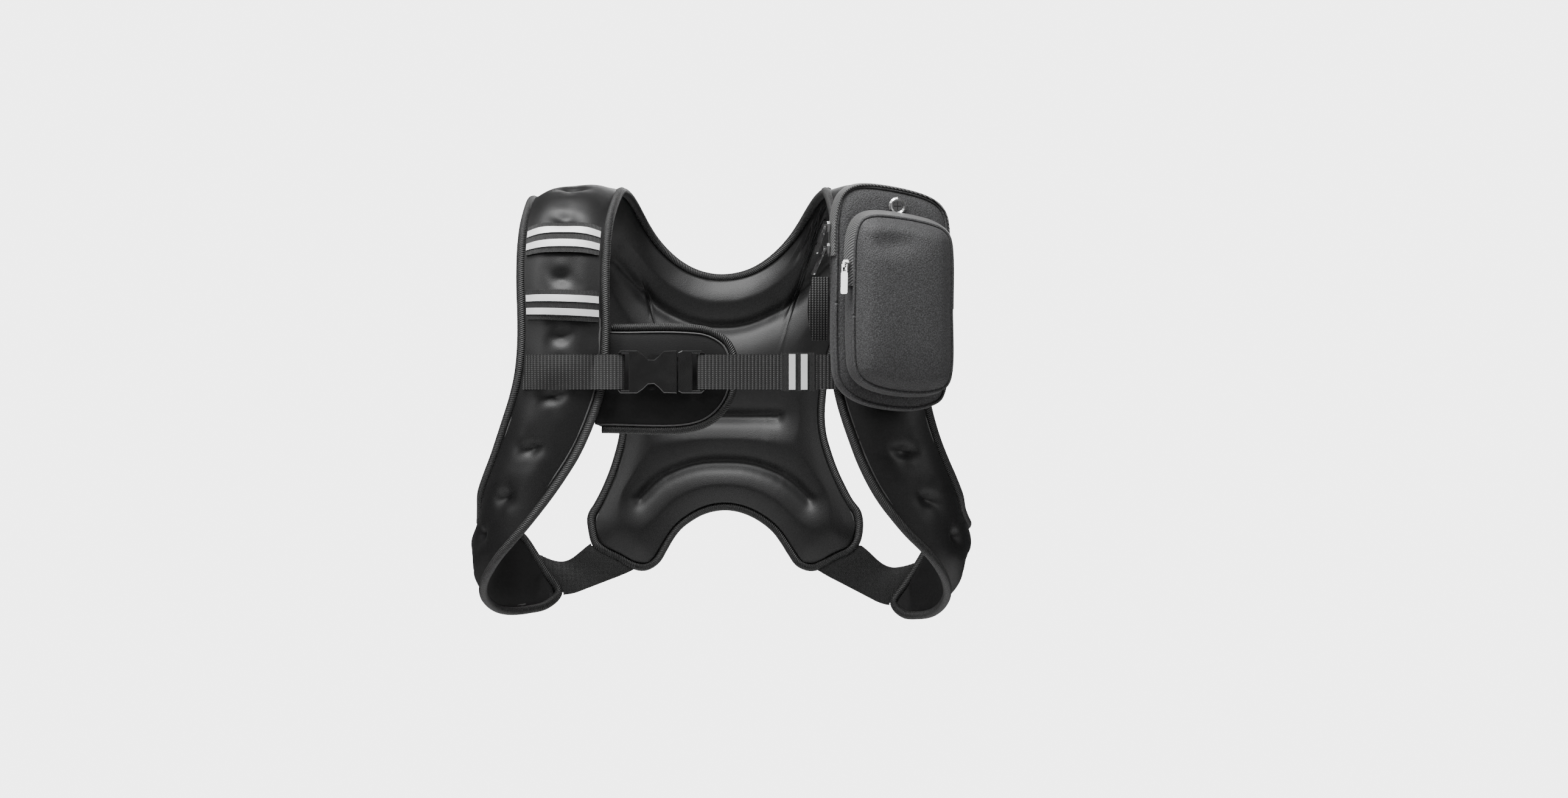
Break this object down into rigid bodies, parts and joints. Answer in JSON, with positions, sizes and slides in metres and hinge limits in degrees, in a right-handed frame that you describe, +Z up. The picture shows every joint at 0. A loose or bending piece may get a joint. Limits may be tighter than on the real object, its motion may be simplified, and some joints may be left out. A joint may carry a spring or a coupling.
{
  "type": "weighted vest",
  "caption": "Padded weight vest with sewn shoulder straps, a fastened chest strap with side-release buckle, an open butterfly back and a zipped phone pouch on the left strap",
  "frame": {"origin": "on the vest's middle plane where the straps rest on the shoulders, level with the shoulder line", "axes": "X to the wearer's left, Y to the wearer's back, Z up; millimetres in the source"},
  "size_m": [0.4293, 0.27, 0.3753],
  "materials": {
    "neoprene": "smooth black neoprene",
    "binding": "ribbed edge tape",
    "webbing": "ribbed woven webbing",
    "elastic": "woven elastic",
    "reflective": "silver reflective tape",
    "buckle": "glossy moulded acetal",
    "knit": "heathered charcoal knit",
    "zip": "diagonally ribbed zip tape",
    "chrome": "bright plated zinc",
    "rubber": "soft grey rubber",
    "net": "open black mesh"
  },
  "bodies": {
    "vest": {"right_strap": "neoprene", "left_strap": "neoprene", "back_panel": "neoprene", "buckle_flap": "neoprene", "right_strap_binding": "binding", "left_strap_binding": "binding", "neckline_binding": "binding", "back_binding": "binding", "flap_binding": "binding", "right_webbing": "webbing", "left_webbing": "webbing", "pouch_loop": "webbing", "upper_band": "elastic", "lower_band": "elastic", "right_side_band": "elastic", "left_side_band": "elastic", "webbing_keeper": "elastic", "back_band": "elastic", "back_tape": "elastic", "upper_band_stripe_a": "reflective", "upper_band_stripe_b": "reflective", "lower_band_stripe_a": "reflective", "lower_band_stripe_b": "reflective", "keeper_stripe_a": "reflective", "keeper_stripe_b": "reflective", "back_stripe_right": "reflective", "back_stripe_left": "reflective", "shoulder_stripe_right": "reflective", "shoulder_stripe_left": "reflective", "buckle_socket": "buckle", "buckle_plug": "buckle", "pouch_shell": "knit", "front_pocket": "knit", "pouch_zip": "zip", "pocket_zip": "zip", "pocket_slider": "chrome", "upper_slider": "chrome", "lower_slider": "chrome", "grommet_ring": "chrome", "grommet_plug": "rubber", "mesh_pocket": "net"},
    "pocket_pull_body": {"pocket_pull": "chrome"},
    "upper_pull_body": {"upper_pull": "chrome"},
    "lower_pull_body": {"lower_pull": "chrome"}
  },
  "joints": [
    {"name": "pocket_pull_hinge", "type": "hinge", "parent": "vest", "child": "pocket_pull_body", "pos_m": [0.10034, -0.15723, -0.0561], "axis": [-0.8552, 0.5183, 0], "range_deg": [0, 150]},
    {"name": "upper_pull_hinge", "type": "hinge", "parent": "vest", "child": "upper_pull_body", "pos_m": [0.08432, -0.13227, -0.02391], "axis": [-0.3721, 0.9282, 0], "range_deg": [0, 150]},
    {"name": "lower_pull_hinge", "type": "hinge", "parent": "vest", "child": "lower_pull_body", "pos_m": [0.08404, -0.13235, -0.0421], "axis": [-0.3721, 0.9282, 0], "range_deg": [0, 25]}
  ]
}
